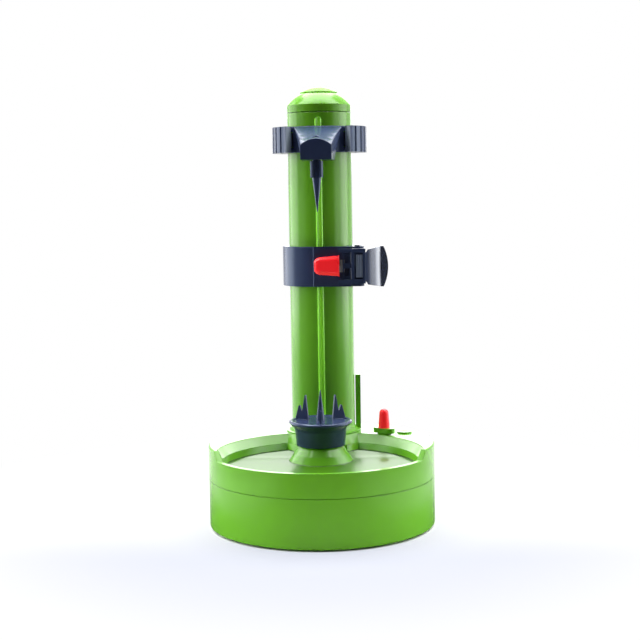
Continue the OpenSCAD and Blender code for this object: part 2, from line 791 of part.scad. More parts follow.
// A threaded rod as one closed surface: a many-sided core with one helical ridge on it
module threaded_rod(core, crest, half_base, half_tip, lead, turns, steps, low, high) {
    profile = [[core, -half_base], [crest, -half_tip], [crest, half_tip], [core, half_base]];
    last = turns * steps;
    ridge = [for (i = [0:last]) for (p = profile)
        [p[0] * cos(i * 360 / steps), p[0] * sin(i * 360 / steps), p[1] + lead * i / steps]];
    ends = [for (z = [low, high]) for (i = [0:steps - 1])
        [core * cos(i * 360 / steps), core * sin(i * 360 / steps), z]];
    foot = (last + 1) * 4;
    head = foot + steps;
    flanks = [for (i = [0:last - 1]) for (k = [0:2]) let (a = 4 * i + k)
        each [[a, a + 5, a + 4], [a, a + 1, a + 5]]];
    gaps = [for (i = [0:last - steps - 1]) let (a = 4 * i + 3, b = 4 * (i + steps))
        each [[a, b + 4, a + 4], [a, b, b + 4]]];
    bottom = [for (i = [0:steps - 2]) each
        [[foot + i, 4 * i + 4, foot + i + 1], [foot + i, 4 * i, 4 * i + 4]]];
    seam_tip = 4 * (steps - 1);
    seam = [for (e = [[4 * steps, 3], [3, 0], [0, foot], [foot, head - 1]]) [seam_tip, e[0], e[1]]];
    top_first = last - steps;
    top = [for (i = [0:steps - 2]) let (a = 4 * (top_first + 1 + i) + 3, h = (i + 1) % steps)
        each [[a, head + (i + 2) % steps, a + 4], [a, head + h, head + (i + 2) % steps]]];
    top_tip = 4 * (top_first + 1) + 3;
    top_line = [4 * top_first + 3, 4 * last, 4 * last + 3, head, head + 1];
    top_seam = [for (i = [0:3]) [top_tip, top_line[i], top_line[i + 1]]];
    start = [0, 3, 2, 1];
    stop = [4 * last, 4 * last + 1, 4 * last + 2, 4 * last + 3];
    disc = [for (i = [0:steps - 1]) foot + i];
    lid = [for (i = [steps - 1:-1:0]) head + i];
    polyhedron(concat(ridge, ends), concat(flanks, gaps, bottom, seam, top, top_seam,
        [start, stop, disc, lid]), convexity = 10);
}

module lead_screw() {
    top = column_top + cap_gap - 3;
    thread_top = thread_z + thread_turns * screw_lead;
    low = thread_z - 2;
    high = thread_top + 2;
    color(steel) translate([0, column_y, 0]) {
        translate([0, 0, plate_z + 0.2]) cylinder(h = low - plate_z - 0.2, r = journal_r);
        translate([0, 0, thread_z]) threaded_rod(screw_core_r, screw_r, 1.05, 0.5, screw_lead, thread_turns,
            thread_steps, low - thread_z, high - thread_z);
        translate([0, 0, high]) cylinder(h = top - high, r = journal_r);
    }
}

module dc_inlet() {
    color(black) {
        difference() {
            union() {
                block([-4.5, base_r - 16, inlet_z - 5.5], [4.5, base_r - 4.4, inlet_z + 5]);
                translate([0, base_r - 1.1, inlet_z]) rotate([90, 0, 0]) cylinder(h = 5, r = inlet_r);
            }
            translate([0, base_r + over, inlet_z]) rotate([90, 0, 0]) cylinder(h = 12, r = 2.75);
        }
        translate([0, base_r - 2.5, inlet_z]) rotate([90, 0, 0]) cylinder(h = 9, r = 1.05);
    }
}

module main_switch() {
    pin_z = switch_z + 3.4;
    color(black) translate([button_x, button_y, 0]) {
        translate([0, 0, switch_z]) cylinder(h = 2.4, r = button_r + 1.6);
        translate([0, 0, switch_z]) cylinder(h = pin_z - switch_z, r = 2);
        for (s = [-2, 2]) block([s - 0.4, -1, switch_z - 2.5], [s + 0.4, 1, switch_z + 0.1]);
    }
}

module power_button() {
    color(green) translate([button_x, button_y, 0]) difference() {
        union() {
            translate([0, 0, button_flange_z - 1.4])
                cylinder(h = deck_z + button_proud - button_flange_z + 1.4, r = button_r);
            translate([0, 0, button_flange_z - 1.4]) cylinder(h = 1.4, r = button_r + 1.4);
        }
        translate([0, 0, deck_z + button_proud + 17.6]) sphere(18);
        translate([0, 0, button_flange_z - 2]) cylinder(h = 2.2, r = 3.2);
    }
}

module button_spring() {
    color(steel) translate([button_x, button_y, switch_z + 2.4])
        spring(2.6, 0.3, button_flange_z - 0.2 + 0.4 - switch_z - 2.4, 3);
}

module limit_switch() {
    low = rod_base_z - 3.2 - limit_h;
    color(black) {
        block([rod_x - 3, rod_y - 6, low], [rod_x + 6, rod_y + 6.4, low + limit_h - 0.8]);
        block([rod_x + 3, rod_y + 3.6, low + limit_h - 1], [rod_x + 6, rod_y + 6.4, deck_z - wall]);
    }
    color(steel) translate([rod_x, rod_y, low + limit_h - 1]) cylinder(h = 0.9, r = 1);
}

module stop_rod() {
    half = rod_w / 2;
    top = deck_z + rod_h;
    collar_z = deck_z - wall - free_gap;
    color(green) {
        block([rod_x - half, rod_y - rod_d / 2, rod_base_z], [rod_x + half, rod_y + rod_d / 2, top]);
        block([rod_x - half, rod_y - rod_d / 2, collar_z - 1.2],
            [rod_x + half + 1, rod_y + rod_d / 2 + 1, collar_z]);
    }
}

module rod_spring() {
    low = rod_base_z - 4;
    color(steel) translate([rod_x, rod_y, low]) spring(1.7, 0.25, rod_base_z - low, 3);
}

module rib_outline() {
    corner = rib_t * 0.8;
    side = rib_w / 2 - corner;
    for (s = [-1, 1]) translate([s * side, -column_r - rib_t + corner]) circle(corner, $fn = 24);
    translate([-side, -column_r - rib_t]) square([2 * side, rib_t + 1]);
    translate([-rib_w / 2, -column_r - rib_t + corner]) square([rib_w, rib_t + 1 - corner]);
}

// The rib down the column's front, rounded off at its top
module rib() {
    high = column_top - rib_drop - rib_w / 2;
    intersection() {
        translate([0, column_y, deck_z]) linear_extrude(column_h) rib_outline();
        union() {
            block([-rib_w, 0, 0], [rib_w, column_y, high]);
            translate([0, column_y, high]) rotate([90, 0, 0]) cylinder(h = column_y, r = rib_w / 2 - 0.01);
        }
    }
}

module column() {
    color(green) difference() {
        union() {
            translate([0, column_y, 0]) {
                translate([0, 0, column_z]) cylinder(h = column_top - column_z, r = column_r);
                translate([0, 0, deck_z]) rotate_extrude() difference() {
                    square([flare_r, flare_r - column_r + flare_t]);
                    translate([flare_r, flare_r - column_r + flare_t]) circle(flare_r - column_r);
                }
            }
            rib();
        }
        translate([0, column_y, column_z + column_plate_t]) cylinder(h = column_h * 2, r = column_in_r);
        translate([0, column_y, column_z - over]) {
            cylinder(h = column_plate_t + 2 * over, r = bush_r);
            for (a = [30:120:270]) rotate(a) translate([column_screw_r, 0, 0])
                cylinder(h = column_plate_t + 2 * over, r = screw_shaft_r);
        }
        block([-slot_w / 2, column_y + column_in_r - 4, slot_z],
            [slot_w / 2, column_y + column_r + over, slot_top]);
        block([rod_x - rod_w / 2 - free_gap, rod_y - rod_d / 2 - free_gap, deck_z - over],
            [rod_x + rod_w, rod_y + rod_d / 2 + free_gap, deck_z + flare_r]);
    }
}

module column_screws() {
    color(steel) translate([0, column_y, cup_floor_z]) for (a = [30:120:270]) rotate(a)
        translate([column_screw_r, 0, 0]) pan_screw(cup_t + column_plate_t + 2, 2.8, 1.8);
}

module column_cap() {
    low = column_top + cap_gap;
    dome_z = low + cap_h;
    color(green) translate([0, column_y, 0]) difference() {
        union() {
            translate([0, 0, low]) cylinder(h = cap_h, r = column_r);
            translate([0, 0, dome_z]) dome_shape();
            translate([0, 0, column_top - 6]) cylinder(h = 6.5, r = column_in_r - run_gap);
        }
        translate([0, 0, column_top - 6 - over]) tube(column_in_r - wall, journal_r + 3.2, cap_h + 6);
        translate([0, 0, column_top - 6 - over]) cylinder(h = cap_h + 5, r = journal_r + run_gap);
        translate([0, 0, dome_z + dome_h - disc_seat]) cylinder(h = dome_h, r = disc_r + 0.15);
    }
}

// Shallow dome: the part of a ball between the cap's side and its disc
module dome_shape() {
    steps = 12;
    drop = (pow(column_r, 2) - pow(disc_r, 2) - pow(dome_h, 2)) / (2 * dome_h);
    edge = [for (i = [0:steps]) let (h = i * dome_h / steps)
        [sqrt(pow(column_r, 2) + pow(drop, 2) - pow(h + drop, 2)), h]];
    rotate_extrude() polygon(concat([[0, 0]], edge, [[0, dome_h]]));
}

module cap_disc() {
    low = column_top + cap_gap + cap_h + dome_h - disc_seat;
    crown = disc_h + disc_seat - disc_edge;
    ball = (disc_r * disc_r + crown * crown) / (2 * crown);
    color(green) translate([0, column_y, low]) {
        cylinder(h = disc_edge + 0.01, r = disc_r);
        intersection() {
            translate([0, 0, disc_edge]) cylinder(h = crown + over, r = disc_r);
            translate([0, 0, disc_edge + crown - ball]) sphere(ball);
        }
    }
}

module fin() {
    outline = [[8.2, -0.5], [9.8, fin_h], [10.3, fin_h], [12.2, 4.2], [12.9, 5], [13.8, 7.8],
        [14.5, 7.6], [16.9, -0.5]];
    rotate([90, 0, 0]) linear_extrude(fin_t, center = true) polygon(outline);
}

module lower_holder() {
    neck = holder_r + 1;
    hub = shaft_r + 2.5;
    profile = [[hub - 0.5, 0], [hub - 0.5, 2], [holder_r - 2, 2], [holder_r - 2, 0], [holder_r, 0],
        [neck, holder_h - 5.6], [neck + 0.5, holder_h - 4.1], [neck + 1.5, holder_h - 3],
        [holder_flange_r - 0.7, holder_h - 2.2], [holder_flange_r, holder_h - 1.4],
        [holder_flange_r - 0.2, holder_h - 0.5], [holder_flange_r - 1, holder_h],
        [holder_flange_r - 2.4, holder_h - 0.1], [holder_flange_r - 3.2, holder_h - 0.5],
        [0, holder_h - 0.5], [0, 0]];
    color(slate) translate([0, spin_y, 0]) difference() {
        union() {
            translate([0, 0, holder_z]) rotate_extrude() polygon(profile);
            translate([0, 0, holder_top - 0.5]) cylinder(h = spike_h + 0.5, r1 = spike_r, r2 = 0.25);
            for (i = [0:fin_count - 1]) rotate(i * 360 / fin_count - 90 + holder_turn)
                translate([0, 0, holder_top]) fin();
        }
        difference() {
            translate([0, 0, holder_z - over]) cylinder(h = 8.2 + over, r = shaft_r + run_gap);
            block([-shaft_r, shaft_r - 1.2 + seat_gap, holder_z - over],
                [shaft_r, shaft_r + 1, holder_top]);
        }
    }
}

module ear(height) {
    translate([hinge_x, hinge_y, 0]) cylinder(h = height, r = barrel_r + 0.2);
    block([12, hinge_y - barrel_r - 0.2, 0], [hinge_x, hinge_y + 6, height]);
}

module arm_carriage() {
    color(slate) translate([0, 0, arm_z]) difference() {
        union() {
            translate([0, column_y, 0]) cylinder(h = ring_h, r = ring_r);
            block([-4, housing_y + 0.7, 0], [hinge_x - barrel_r - 0.9, column_y - 4, ring_h]);
            translate([-3.3, housing_y + 0.7, 0]) cylinder(h = ring_h, r = 0.7);
            block([-3.3, housing_y, 0], [hinge_x - barrel_r - 0.9, housing_y + 1, ring_h]);
            ear(ear_t);
            translate([0, 0, ring_h - ear_t]) ear(ear_t);
        }
        translate([0, column_y, -over]) cylinder(h = ring_h + 2 * over, r = ring_in_r);
        block([-rib_w / 2 - 0.5, column_y - column_r - rib_t - 0.5, -over],
            [rib_w / 2 + 0.5, column_y - column_r + 1, ring_h + over]);
        translate([hinge_x, hinge_y, -over]) cylinder(h = ring_h + 2 * over, r = hinge_pin_r);
        block([-stem_w / 2 - 0.3, column_y + column_r - 2, ring_h / 2 - nut_h / 2 - 0.3],
            [stem_w / 2 + 0.3, base_r + over, ring_h / 2 + nut_h / 2 + 0.3]);
        block([-7.5, pocket_y, ring_h / 2 - 6.5], [7.5, base_r + over, ring_h / 2 + 6.5]);
        block([column_r - 0.3, rod_y - rod_d / 2 - 0.8, -over],
            [base_r, rod_y + rod_d / 2 + 0.8, deck_z + rod_h + free_gap - (arm_z - arm_down)]);
    }
}

module carriage_nut() {
    tooth_tip = column_y - screw_core_r - 0.35;
    tooth_back = column_y - screw_r - 0.6;
    color(white) translate([0, 0, nut_z]) {
        difference() {
            block([-yoke_x, tooth_back - 2.8, -nut_h / 2], [yoke_x, column_y + screw_r + 6.2, nut_h / 2]);
            block([-yoke_in_x, tooth_back, -nut_h],
                [yoke_in_x, column_y + screw_r + nut_travel + 0.5, nut_h]);
            translate([0, column_y, -nut_h]) tube(base_r, 14.5, 2 * nut_h);
        }
        rotate([90, 0, 90]) linear_extrude(3, center = true)
            polygon([[tooth_back - 0.1, -0.95], [tooth_tip, -0.4], [tooth_tip, 0.4],
                [tooth_back - 0.1, 0.95]]);
        block([-stem_w / 2, column_y + screw_r + 5, -nut_h / 2],
            [stem_w / 2, nut_button_y - nut_button_t + 0.1, nut_h / 2]);
        block([-6.5, nut_button_y - nut_button_t, -5.5], [6.5, nut_button_y, 5.5]);
    }
}

module nut_spring() {
    length = nut_button_y - nut_button_t - pocket_y - 0.1;
    color(steel) translate([0, pocket_y + 0.05, nut_z]) rotate([-90, 0, 0]) spring(4.9, 0.3, length, 2);
}

module hinge_pin() {
    color(steel) translate([hinge_x, hinge_y, arm_z]) {
        cylinder(h = ring_h, r = hinge_pin_r);
        translate([0, 0, ring_h]) cylinder(h = 0.8, r = hinge_pin_r + 0.7);
    }
}

module arm_spring() {
    color(steel) translate([hinge_x, hinge_y, arm_z + ear_t]) spring(barrel_r - 0.7, 0.35, 4.4, 5);
}

module peeling_arm() {
    left = head_x - 0.6 - post_w;
    right = hinge_x + 4.5;
    window_x = head_x + head_w + 0.4;
    color(slate) difference() {
        union() {
            block([left, arm_y, arm_low], [right, arm_y + arm_t, arm_top]);
            translate([hinge_x, hinge_y, barrel_low]) cylinder(h = barrel_top - barrel_low, r = barrel_r);
            block([hinge_x - 2.6, arm_y + 1, barrel_low], [hinge_x + 2.6, hinge_y, barrel_top]);
            translate([hinge_x, hinge_y, arm_z + ear_t + 0.3]) cylinder(h = 5, r = barrel_r - 1.3);
            thumb_tab(right);
        }
        block([left - over, arm_y - over, blade_z - 8.1], [head_x + head_w + 0.4, base_r, blade_z + 8.1]);
        block([window_x + post_w, arm_y - over, arm_low + 2.6],
            [right - 1.6, arm_y + arm_t - 1.6, arm_top - 2.6]);
        translate([hinge_x, hinge_y, arm_z]) cylinder(h = ring_h, r = hinge_pin_r + run_gap);
        translate([head_x + head_w, arm_mid_y, blade_z]) rotate([0, 90, 0])
            cylinder(h = 3, r = 1.2 + run_gap);
    }
}

// A thumb paddle: a fan-shaped plate that curls back and away, with a flat bowed rim at its end
module thumb_tab(root_x) {
    mid_z = arm_z + ring_h / 2;
    root_half = 8.8;
    wing_half = 10.5;
    rim_half = 12.2;
    bow_r = 28;
    curl_r = 19.4;
    root_turn = 20;
    plate = 1.8;
    rim_x = tab_x - 4;
    curl_x = root_x - curl_r * sin(root_turn);
    curl_y = arm_y + 0.3 + curl_r * cos(root_turn);
    rim_y = curl_y - sqrt(pow(curl_r, 2) - pow(rim_x - curl_x, 2));
    fan = [[root_x - 2, root_half], [root_x + 0.4, root_half], [root_x + 1.4, wing_half], [rim_x, rim_half],
        [tab_x + 1, rim_half]];
    intersection() {
        translate([0, base_r, mid_z]) rotate([90, 0, 0]) linear_extrude(2 * base_r)
            polygon(concat(fan, [for (i = [4:-1:0]) [fan[i][0], -fan[i][1]]]));
        translate([tab_x - bow_r, 0, mid_z]) rotate([-90, 0, 0]) cylinder(h = base_r, r = bow_r);
        union() {
            intersection() {
                translate([curl_x, curl_y, arm_z - over]) tube(curl_r, curl_r - plate, ring_h + 2 * over);
                block([root_x - 2, 0, arm_z - over], [rim_x + 1.5, curl_y, arm_z + ring_h + over]);
            }
            translate([tab_x - bow_r, rim_y - 0.6, mid_z]) rotate([-90, 0, 0])
                tube(bow_r + over, bow_r - tab_x + rim_x, plate + 0.6);
        }
    }
}

module blade_head() {
    color(slate) {
        difference() {
            block([head_x, arm_mid_y - 1.4, blade_z - head_h / 2],
                [head_x + head_w, arm_mid_y + 1.4, blade_z + head_h / 2]);
            for (s = [-1, 1]) translate([head_x + head_w / 2, arm_mid_y, blade_z + s * 3.9])
                cube([head_w - 1.8, 4, 4.6], center = true);
            block([head_x - over, arm_mid_y - 0.5, blade_z - blade_h / 2], [head_x + 1.2, arm_mid_y + 0.5,
                blade_z + blade_h / 2]);
        }
        translate([head_x + head_w - 0.1, arm_mid_y, blade_z]) rotate([0, 90, 0]) cylinder(h = 2.6, r = 1.2);
    }
}

module blade() {
    bow_r = 9;
    color(steel) difference() {
        union() {
            intersection() {
                translate([head_x - blade_l, arm_mid_y + bow_r - 1.2, blade_z]) rotate([0, 90, 0])
                    tube(bow_r, bow_r - 0.6, blade_l);
                block([head_x - blade_l, arm_mid_y - 2, blade_z - blade_h / 2],
                    [head_x, arm_mid_y + 1.5, blade_z + blade_h / 2]);
            }
            block([head_x - 1.2, arm_mid_y - 1.2, blade_z - blade_h / 2],
                [head_x, arm_mid_y + 0.5, blade_z + blade_h / 2]);
            block([head_x - 0.6, arm_mid_y - 0.5, blade_z - blade_h / 2],
                [head_x + 1.2, arm_mid_y + 0.5, blade_z + blade_h / 2]);
        }
        block([head_x - blade_l + 1.8, 0, blade_z - 0.8], [head_x - 2.6, base_r, blade_z + 0.8]);
    }
}

module cap_end(x, half_h, half_t) {
    translate([x, arm_mid_y, blade_z]) rotate([0, 90, 0]) linear_extrude(0.5) {
        for (s = [-1, 1]) translate([s * (half_h - half_t), 0]) circle(half_t, $fn = 32);
        square([2 * (half_h - half_t), 2 * half_t], center = true);
    }
}

module blade_cap() {
    open_x = head_x - 2;
    color(red) difference() {
        union() {
            cap_end(open_x - 0.5, blade_cap_h / 2, 3.1);
            hull() {
                cap_end(open_x - blade_cap_l, blade_cap_h / 2 - 3.4, 1.8);
                cap_end(open_x - blade_cap_l + 1.2, blade_cap_h / 2 - 2, 2.6);
                cap_end(open_x - blade_cap_l + 3, blade_cap_h / 2 - 1.2, 2.9);
                cap_end(open_x - 0.8, blade_cap_h / 2 - 0.3, 3);
            }
        }
        block([head_x - blade_l - 0.8, arm_mid_y - 1.7, blade_z - blade_h / 2 - 0.4],
            [open_x + over, arm_mid_y + 1.7, blade_z + blade_h / 2 + 0.4]);
    }
}

module grip_ear(z) {
    translate([0, 0, z]) {
        translate([grip_pin_x, column_y, 0]) cylinder(h = 2.4, r = 2.8);
        block([top_ring_r - 1, column_y - 2.8, 0], [grip_pin_x, column_y + 2.8, 2.4]);
    }
}

module both_sides() {
    children();
    mirror([1, 0, 0]) children();
}

// One slice of the nose, from 0 at the ring to 1 at its front face
module nose_slice(s) {
    back = 1 - s;
    front_top = nose_z + nose_h;
    half = nose_w / 2 + (nose_back_w - nose_w) / 2 * pow(back, 1.6);
    foot_half = nose_w / 2 + 0.6 * back;
    top = front_top + (top_ring_z + top_ring_h - front_top) * pow(back, 1.2);
    sag = 0.8 + (nose_arch - 0.8) * s;
    crown = [for (i = [-6:6]) [half * i / 6, top - sag * pow(i / 6, 2)]];
    translate([0, nose_back_y + s * (nose_y - nose_back_y) + 0.4, 0]) rotate([90, 0, 0])
        linear_extrude(0.4) polygon(concat([[foot_half, nose_z], [-foot_half, nose_z]], crown));
}

module nose() {
    stations = [0, 0.12, 0.26, 0.45, 0.7, 1];
    for (i = [0:4]) hull() {
        nose_slice(stations[i]);
        nose_slice(stations[i + 1]);
    }
}

module top_holder() {
    top = top_ring_z + top_ring_h;
    color(slate) difference() {
        union() {
            translate([0, column_y, top_ring_z]) cylinder(h = top_ring_h, r = top_ring_r);
            nose();
            both_sides() {
                grip_ear(top_ring_z);
                grip_ear(top - 2.4);
            }
        }
        translate([0, column_y, nose_z - over]) cylinder(h = 2 * top_ring_h, r = ring_in_r);
        block([-rib_w / 2 - 0.5, column_y - column_r - rib_t - 0.5, 0],
            [rib_w / 2 + 0.5, column_y - column_r + 1, column_top]);
        translate([0, spin_y, nose_z - over]) cylinder(h = 3 * nose_h, r = spindle_r + run_gap);
        translate([0, spin_y, nose_z + clip_groove - 0.4]) cylinder(h = clip_room, r = 4.2);
        block([-4.2, spin_y, nose_z + clip_groove - 0.4],
            [4.2, nose_back_y + 2, nose_z + clip_groove - 0.4 + clip_room]);
        both_sides() {
            translate([grip_pin_x, column_y, 0]) cylinder(h = column_top, r = grip_pin_r);
            translate([0, column_y, top_ring_z + pad_inset - 0.6])
                sector(grip_in_r, ring_in_r - 1, top_ring_h - 2 * pad_inset + 1.2, pad_from - 4, pad_to + 5);
        }
    }
}

module top_spindle() {
    color(slate) translate([0, spin_y, 0]) {
        hub_z = nose_z - 0.3 - hub_h;
        translate([0, 0, hub_z]) {
            cylinder(h = hub_h, r = top_spike_r);
            for (a = [45, 135]) rotate(a) block([-hub_r, -0.7, 0.4], [hub_r, 0.7, hub_h - 0.4]);
        }
        translate([0, 0, hub_z - top_spike_l]) cylinder(h = top_spike_l, r1 = 0.25, r2 = top_spike_r);
        translate([0, 0, hub_z + hub_h]) cylinder(h = clip_groove + 0.3, r = spindle_r);
        translate([0, 0, nose_z + clip_groove]) cylinder(h = 0.9, r = spindle_r - 0.5);
        translate([0, 0, nose_z + clip_groove + 0.9]) cylinder(h = 1.1, r = spindle_r);
    }
}

module spindle_clip() {
    color(steel) translate([0, spin_y, nose_z + clip_groove + 0.05]) difference() {
        cylinder(h = 0.8, r = 3.6);
        translate([0, 0, -over]) cylinder(h = 3, r = spindle_r - 0.45);
        block([-1.1, 0, -over], [1.1, 5, 2]);
    }
}

module right_grip_body() {
    top = top_ring_z + top_ring_h;
    groove_step = 11.5;
    groove_angles = [grip_front + 9:groove_step:grip_back - 6];
    difference() {
        union() {
            translate([0, column_y, top_ring_z]) sector(grip_r, grip_in_r, top_ring_h, grip_front, grip_back);
            translate([0, column_y, top_ring_z + pad_inset])
                sector(grip_in_r + 0.5, top_ring_r - 0.9, top_ring_h - 2 * pad_inset, pad_from, pad_to);
        }
        for (z = [top_ring_z - over, top - 2.7]) translate([grip_pin_x, column_y, z])
            cylinder(h = 2.7 + over, r = 3.5);
        for (z = [top_ring_z - over, top - 2.7])
            block([0, column_y - 3.4, z], [grip_pin_x, column_y + 3.4, z + 2.7 + over]);
        translate([grip_pin_x, column_y, 0]) cylinder(h = column_top, r = grip_pin_r + run_gap);
        for (a = groove_angles) translate([(grip_r + 0.3) * cos(a), column_y + (grip_r + 0.3) * sin(a), 0])
            cylinder(h = column_top, r = 0.9);
        translate([0, column_y, top_ring_z + top_ring_h / 2]) rotate([0, 90, 27])
            cylinder(h = grip_in_r + 1.8, r = 2.4);
    }
}

module left_grip() {
    color(slate) mirror([1, 0, 0]) right_grip_body();
}

module right_grip() {
    color(slate) right_grip_body();
}

module right_pad_body() {
    translate([0, column_y, top_ring_z + pad_inset])
        sector(top_ring_r - 0.9, column_r + 0.3, top_ring_h - 2 * pad_inset, pad_from, pad_to);
}

module left_brake_pad() {
    color(black) mirror([1, 0, 0]) right_pad_body();
}

module right_brake_pad() {
    color(black) right_pad_body();
}

module grip_pins() {
    color(steel) both_sides() translate([grip_pin_x, column_y, top_ring_z])
        cylinder(h = top_ring_h, r = grip_pin_r);
}

module grip_springs() {
    color(steel) both_sides() translate([0, column_y, top_ring_z + top_ring_h / 2]) rotate([0, 90, 27])
        translate([0, 0, top_ring_r + 0.02]) spring(1.6, 0.3, 2.5, 3);
}

module knife_handle() {
    top = knife_flange_z + knife_flange_t;
    color(green) knife_place() difference() {
        union() {
            translate([0, 0, deck_z - knife_deep + 0.3]) linear_extrude(knife_deep + 1) knife_neck(0);
            translate([0, 0, knife_flange_z]) linear_extrude(knife_flange_t) {
                square([knife_flange_l - 6, 6.4], center = true);
                for (s = [-1, 1]) translate([s * (knife_flange_l / 2 - 3.2), 0]) circle(3.2);
            }
        }
        block([-2.2, -0.4, knife_flange_z - 8], [2.2, 0.4, top + over]);
    }
}

module knife_blade() {
    top = knife_flange_z + knife_flange_t;
    color(steel) knife_place() rotate([90, 0, 0]) linear_extrude(0.8, center = true)
        polygon([[-2.2, knife_flange_z - 8], [2.2, knife_flange_z - 8], [2.2, top + 4],
            [0, top + knife_cap_h - 3],
            [-2.2, top + 4]]);
}

module knife_cap() {
    top = knife_flange_z + knife_flange_t;
    neck = knife_cap_r - 0.7;
    color(red) translate([knife_x, knife_y, top]) difference() {
        union() {
            cylinder(h = knife_cap_h - neck, r1 = knife_cap_r, r2 = neck);
            translate([0, 0, knife_cap_h - neck]) sphere(neck);
        }
        translate([0, 0, -over]) cylinder(h = knife_cap_h - 1, r = 2.5);
    }
}

lower_shell();
top_cover();
battery_door();
battery_cells();
battery_contacts();
cell_springs();
rubber_feet();
base_screws();
gear_plate();
journal_bushes();
spindle_bush();
column_bush();
motor();
motor_pinion();
compound_gear();
gear_axle();
turntable_gear();
turntable_shaft();
screw_gear();
lead_screw();
dc_inlet();
main_switch();
limit_switch();
power_button();
button_spring();
column();
column_screws();
column_cap();
cap_disc();
stop_rod();
rod_spring();
lower_holder();
arm_carriage();
carriage_nut();
nut_spring();
hinge_pin();
arm_spring();
peeling_arm();
blade_head();
blade();
blade_cap();
top_holder();
top_spindle();
spindle_clip();
left_grip();
right_grip();
left_brake_pad();
right_brake_pad();
grip_pins();
grip_springs();
knife_handle();
knife_blade();
knife_cap();
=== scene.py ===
import math

import bmesh
import bpy
from mathutils import Matrix, Vector


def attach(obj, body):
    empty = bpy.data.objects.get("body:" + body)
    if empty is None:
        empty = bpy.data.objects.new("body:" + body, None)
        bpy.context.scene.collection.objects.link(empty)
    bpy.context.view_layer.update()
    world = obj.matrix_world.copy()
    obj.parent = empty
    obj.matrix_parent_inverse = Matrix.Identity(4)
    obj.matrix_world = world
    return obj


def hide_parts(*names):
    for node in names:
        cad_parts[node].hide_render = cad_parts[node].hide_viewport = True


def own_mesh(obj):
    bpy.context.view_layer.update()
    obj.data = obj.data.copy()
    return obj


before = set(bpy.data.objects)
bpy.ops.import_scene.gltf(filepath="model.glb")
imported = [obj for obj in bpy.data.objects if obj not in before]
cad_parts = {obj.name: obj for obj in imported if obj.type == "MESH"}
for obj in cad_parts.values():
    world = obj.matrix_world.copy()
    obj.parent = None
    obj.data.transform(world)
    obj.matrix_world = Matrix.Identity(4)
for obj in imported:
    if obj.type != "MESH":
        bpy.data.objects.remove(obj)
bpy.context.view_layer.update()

# The camera stands about 80 cm in front of the base and 20 cm above the table, a little to the
# right of the column, with a portrait lens of 76 mm. It looks 5.6 degrees down and leans just
# under one degree, as the picture does.
lens = bpy.data.cameras.new("front_camera")
lens.sensor_width = 36
lens.lens = 76.6
camera = bpy.data.objects.new("front_camera", lens)
bpy.context.scene.collection.objects.link(camera)
bpy.context.scene.camera = camera
bearing, pitch, tilt = math.radians(2.28), math.radians(5.57), math.radians(0.9)
camera.location = (0.0321, -0.7994, 0.200)
turn = Matrix.Rotation(bearing, 4, "Z") @ Matrix.Rotation(math.pi / 2 - pitch, 4, "X")
camera.rotation_euler = (turn @ Matrix.Rotation(-tilt, 4, "Z")).to_euler()


# The table and the wall behind it are one sweep of white card. The camera sees it as plain white,
# with a painted cool-grey shadow before the base, and mirror rays see it glow. The floor keeps a
# share of the real shadow near the base, and all of it underneath.
class Flow:
    """A value on its way through a shader: sums add Math nodes, and node() adds any other."""

    def __init__(self, tree, socket=None):
        self.tree, self.socket = tree, socket

    def node(self, kind, settings=None, inputs=None, output=0):
        made = self.tree.nodes.new("ShaderNode" + kind)
        for name, value in (settings or {}).items():
            if name == "stops":
                for at, grey in value:
                    stop = made.color_ramp.elements.new(at)
                    stop.color = (grey, grey, grey, 1)
                made.color_ramp.elements.remove(made.color_ramp.elements[0])
                made.color_ramp.elements.remove(made.color_ramp.elements[-1])
            else:
                setattr(made, name, value)
        for name, value in (inputs or {}).items():
            if isinstance(value, Flow):
                self.tree.links.new(value.socket, made.inputs[name])
            else:
                made.inputs[name].default_value = value
        return Flow(self.tree, made.outputs[output])

    def maths(self, operation, first, second):
        return self.node("Math", {"operation": operation}, {0: first, 1: second})

    def __add__(self, other):
        return self.maths("ADD", self, other)

    def __sub__(self, other):
        return self.maths("SUBTRACT", self, other)

    def __mul__(self, other):
        return self.maths("MULTIPLY", self, other)

    def __rsub__(self, other):
        return self.maths("SUBTRACT", other, self)

    __radd__ = __add__
    __rmul__ = __mul__


def slope(value, start, end, first, last, curve="SMOOTHSTEP"):
    """Goes from first to last while the value goes from start to end, and stays there."""
    return value.node("MapRange", {"interpolation_type": curve}, {
        "Value": value, "From Min": start, "From Max": end, "To Min": first, "To Max": last})


